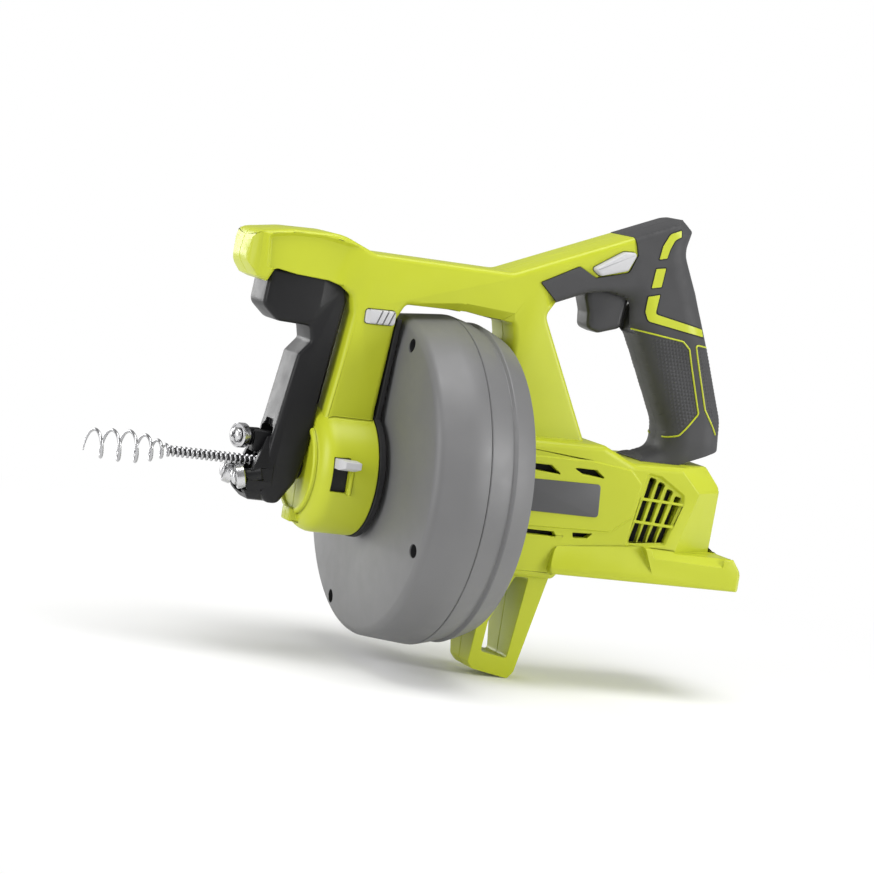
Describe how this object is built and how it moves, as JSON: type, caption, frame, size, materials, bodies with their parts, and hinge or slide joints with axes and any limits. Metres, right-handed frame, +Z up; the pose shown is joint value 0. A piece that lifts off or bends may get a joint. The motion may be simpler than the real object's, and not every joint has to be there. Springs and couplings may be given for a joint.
{
  "type": "cordless drum drain auger",
  "caption": "Hand-held cordless drain snake: a turning drum stores a coiled cable, a lever squeezes rollers that feed it, and a pistol handle with a trigger drives it.",
  "frame": {"origin": "on the ground, under the centre of the bounding box, in the middle plane", "axes": "X along the drum spindle, the cable leaves towards -X and the motor is at +X; +Z up; the left half is at -Y"},
  "size_m": [0.3968, 0.189, 0.2778],
  "materials": {
    "lime_plastic": "satin moulded lime green",
    "grip_rubber": "soft dark grey overmould",
    "black_plastic": "fine matte black",
    "drum_plastic": "mid grey with a fine texture",
    "switch_plastic": "light grey",
    "dark_plastic": "dark glass-filled plastic",
    "bright_steel": "bright plated steel",
    "cable_steel": "drawn spring wire",
    "motor_steel": "zinc plated",
    "copper": "enamelled copper windings"
  },
  "bodies": {
    "housing": {"left_housing": "lime_plastic", "right_housing": "lime_plastic", "left_grip": "grip_rubber", "right_grip": "grip_rubber", "housing_screw_1": "bright_steel", "housing_screw_2": "bright_steel", "housing_screw_3": "bright_steel", "housing_screw_4": "bright_steel", "housing_screw_5": "bright_steel", "housing_screw_6": "bright_steel", "drum_shield": "black_plastic", "front_bearing": "bright_steel", "rear_bearing": "bright_steel", "ring_gear": "bright_steel", "gearbox_plate": "dark_plastic", "motor_can": "motor_steel", "motor_end_cap": "dark_plastic", "feed_head": "black_plastic", "top_roller_screw": "bright_steel", "switch_module": "dark_plastic", "trigger_spring": "cable_steel", "lever_spring": "cable_steel", "terminal_block": "dark_plastic", "left_label_plate": "dark_plastic", "right_label_plate": "dark_plastic"},
    "drum": {"drum_front_cover": "drum_plastic", "drum_rear_cover": "drum_plastic", "drum_screw_1": "bright_steel", "drum_screw_2": "bright_steel", "drum_screw_3": "bright_steel", "drum_screw_4": "bright_steel", "stored_cable": "cable_steel", "drum_spindle": "dark_plastic"},
    "cable_run": {"cable": "cable_steel", "bulb_tip": "cable_steel"},
    "planet_1": {"planet_gear_1": "bright_steel"},
    "planet_2": {"planet_gear_2": "bright_steel"},
    "planet_3": {"planet_gear_3": "bright_steel"},
    "rotor": {"motor_rotor": "copper", "sun_gear": "bright_steel", "cooling_fan": "black_plastic"},
    "lever": {"feed_lever": "black_plastic", "left_roller_screw": "bright_steel", "right_roller_screw": "bright_steel"},
    "top_feed_roller": {"top_roller": "bright_steel"},
    "left_feed_roller": {"left_roller": "bright_steel"},
    "right_feed_roller": {"right_roller": "bright_steel"},
    "slider": {"clamp_slider": "switch_plastic"},
    "jaw": {"clamp_jaw": "bright_steel"},
    "feed_switch": {"auto_feed_switch": "switch_plastic"},
    "direction": {"direction_button": "switch_plastic"},
    "trigger_body": {"trigger": "black_plastic"}
  },
  "joints": [
    {"name": "drum_spin", "type": "hinge", "parent": "housing", "child": "drum", "pos_m": [0.03342, 0, 0.10926], "axis": [1, 0, 0], "continuous": true},
    {"name": "cable_feed", "type": "slide", "parent": "drum", "child": "cable_run", "axis": [-1, 0, 0], "range_m": [0, 0.05]},
    {"name": "planet_spin_1", "type": "hinge", "parent": "drum", "child": "planet_1", "pos_m": [0.05592, 0, 0.12426], "axis": [1, 0, 0], "continuous": true},
    {"name": "planet_spin_2", "type": "hinge", "parent": "drum", "child": "planet_2", "pos_m": [0.05592, 0.01299, 0.10176], "axis": [1, 0, 0], "continuous": true},
    {"name": "planet_spin_3", "type": "hinge", "parent": "drum", "child": "planet_3", "pos_m": [0.05592, -0.01299, 0.10176], "axis": [1, 0, 0], "continuous": true},
    {"name": "motor_spin", "type": "hinge", "parent": "housing", "child": "rotor", "pos_m": [0.09342, 0, 0.10926], "axis": [1, 0, 0], "continuous": true},
    {"name": "lever_squeeze", "type": "slide", "parent": "housing", "child": "lever", "axis": [0, 0, 1], "range_m": [0, 0.003], "deforming": ["lever_spring"]},
    {"name": "top_roller_spin", "type": "hinge", "parent": "housing", "child": "top_feed_roller", "pos_m": [-0.11058, 0, 0.12246], "axis": [-0.9397, -0.342, 0], "continuous": true},
    {"name": "left_roller_spin", "type": "hinge", "parent": "lever", "child": "left_feed_roller", "pos_m": [-0.11058, -0.0094, 0.10066], "axis": [-0.9397, 0.2309, -0.2523], "continuous": true},
    {"name": "right_roller_spin", "type": "hinge", "parent": "lever", "child": "right_feed_roller", "pos_m": [-0.11058, 0.0094, 0.10066], "axis": [-0.9397, 0.2309, 0.2523], "continuous": true},
    {"name": "clamp_slide", "type": "slide", "parent": "housing", "child": "slider", "axis": [0, 0, -1], "range_m": [0, 0.011]},
    {"name": "jaw_lift", "type": "slide", "parent": "housing", "child": "jaw", "axis": [0, 0, 1], "range_m": [0, 0.0025]},
    {"name": "auto_feed_push", "type": "slide", "parent": "housing", "child": "feed_switch", "axis": [0, 1, 0], "range_m": [0, 0.003]},
    {"name": "direction_push", "type": "slide", "parent": "housing", "child": "direction", "axis": [0, 1, 0], "range_m": [-0.0035, 0.0035]},
    {"name": "trigger_pull", "type": "slide", "parent": "housing", "child": "trigger_body", "axis": [1, 0, 0], "range_m": [0, 0.007], "deforming": ["trigger_spring"]}
  ],
  "couplings": [
    {"joint": "planet_spin_1", "follows": "drum_spin", "ratio": -2.6667},
    {"joint": "planet_spin_2", "follows": "drum_spin", "ratio": -2.6667},
    {"joint": "planet_spin_3", "follows": "drum_spin", "ratio": -2.6667},
    {"joint": "motor_spin", "follows": "drum_spin", "ratio": 5},
    {"joint": "clamp_slide", "follows": "jaw_lift", "ratio": 4.4}
  ]
}
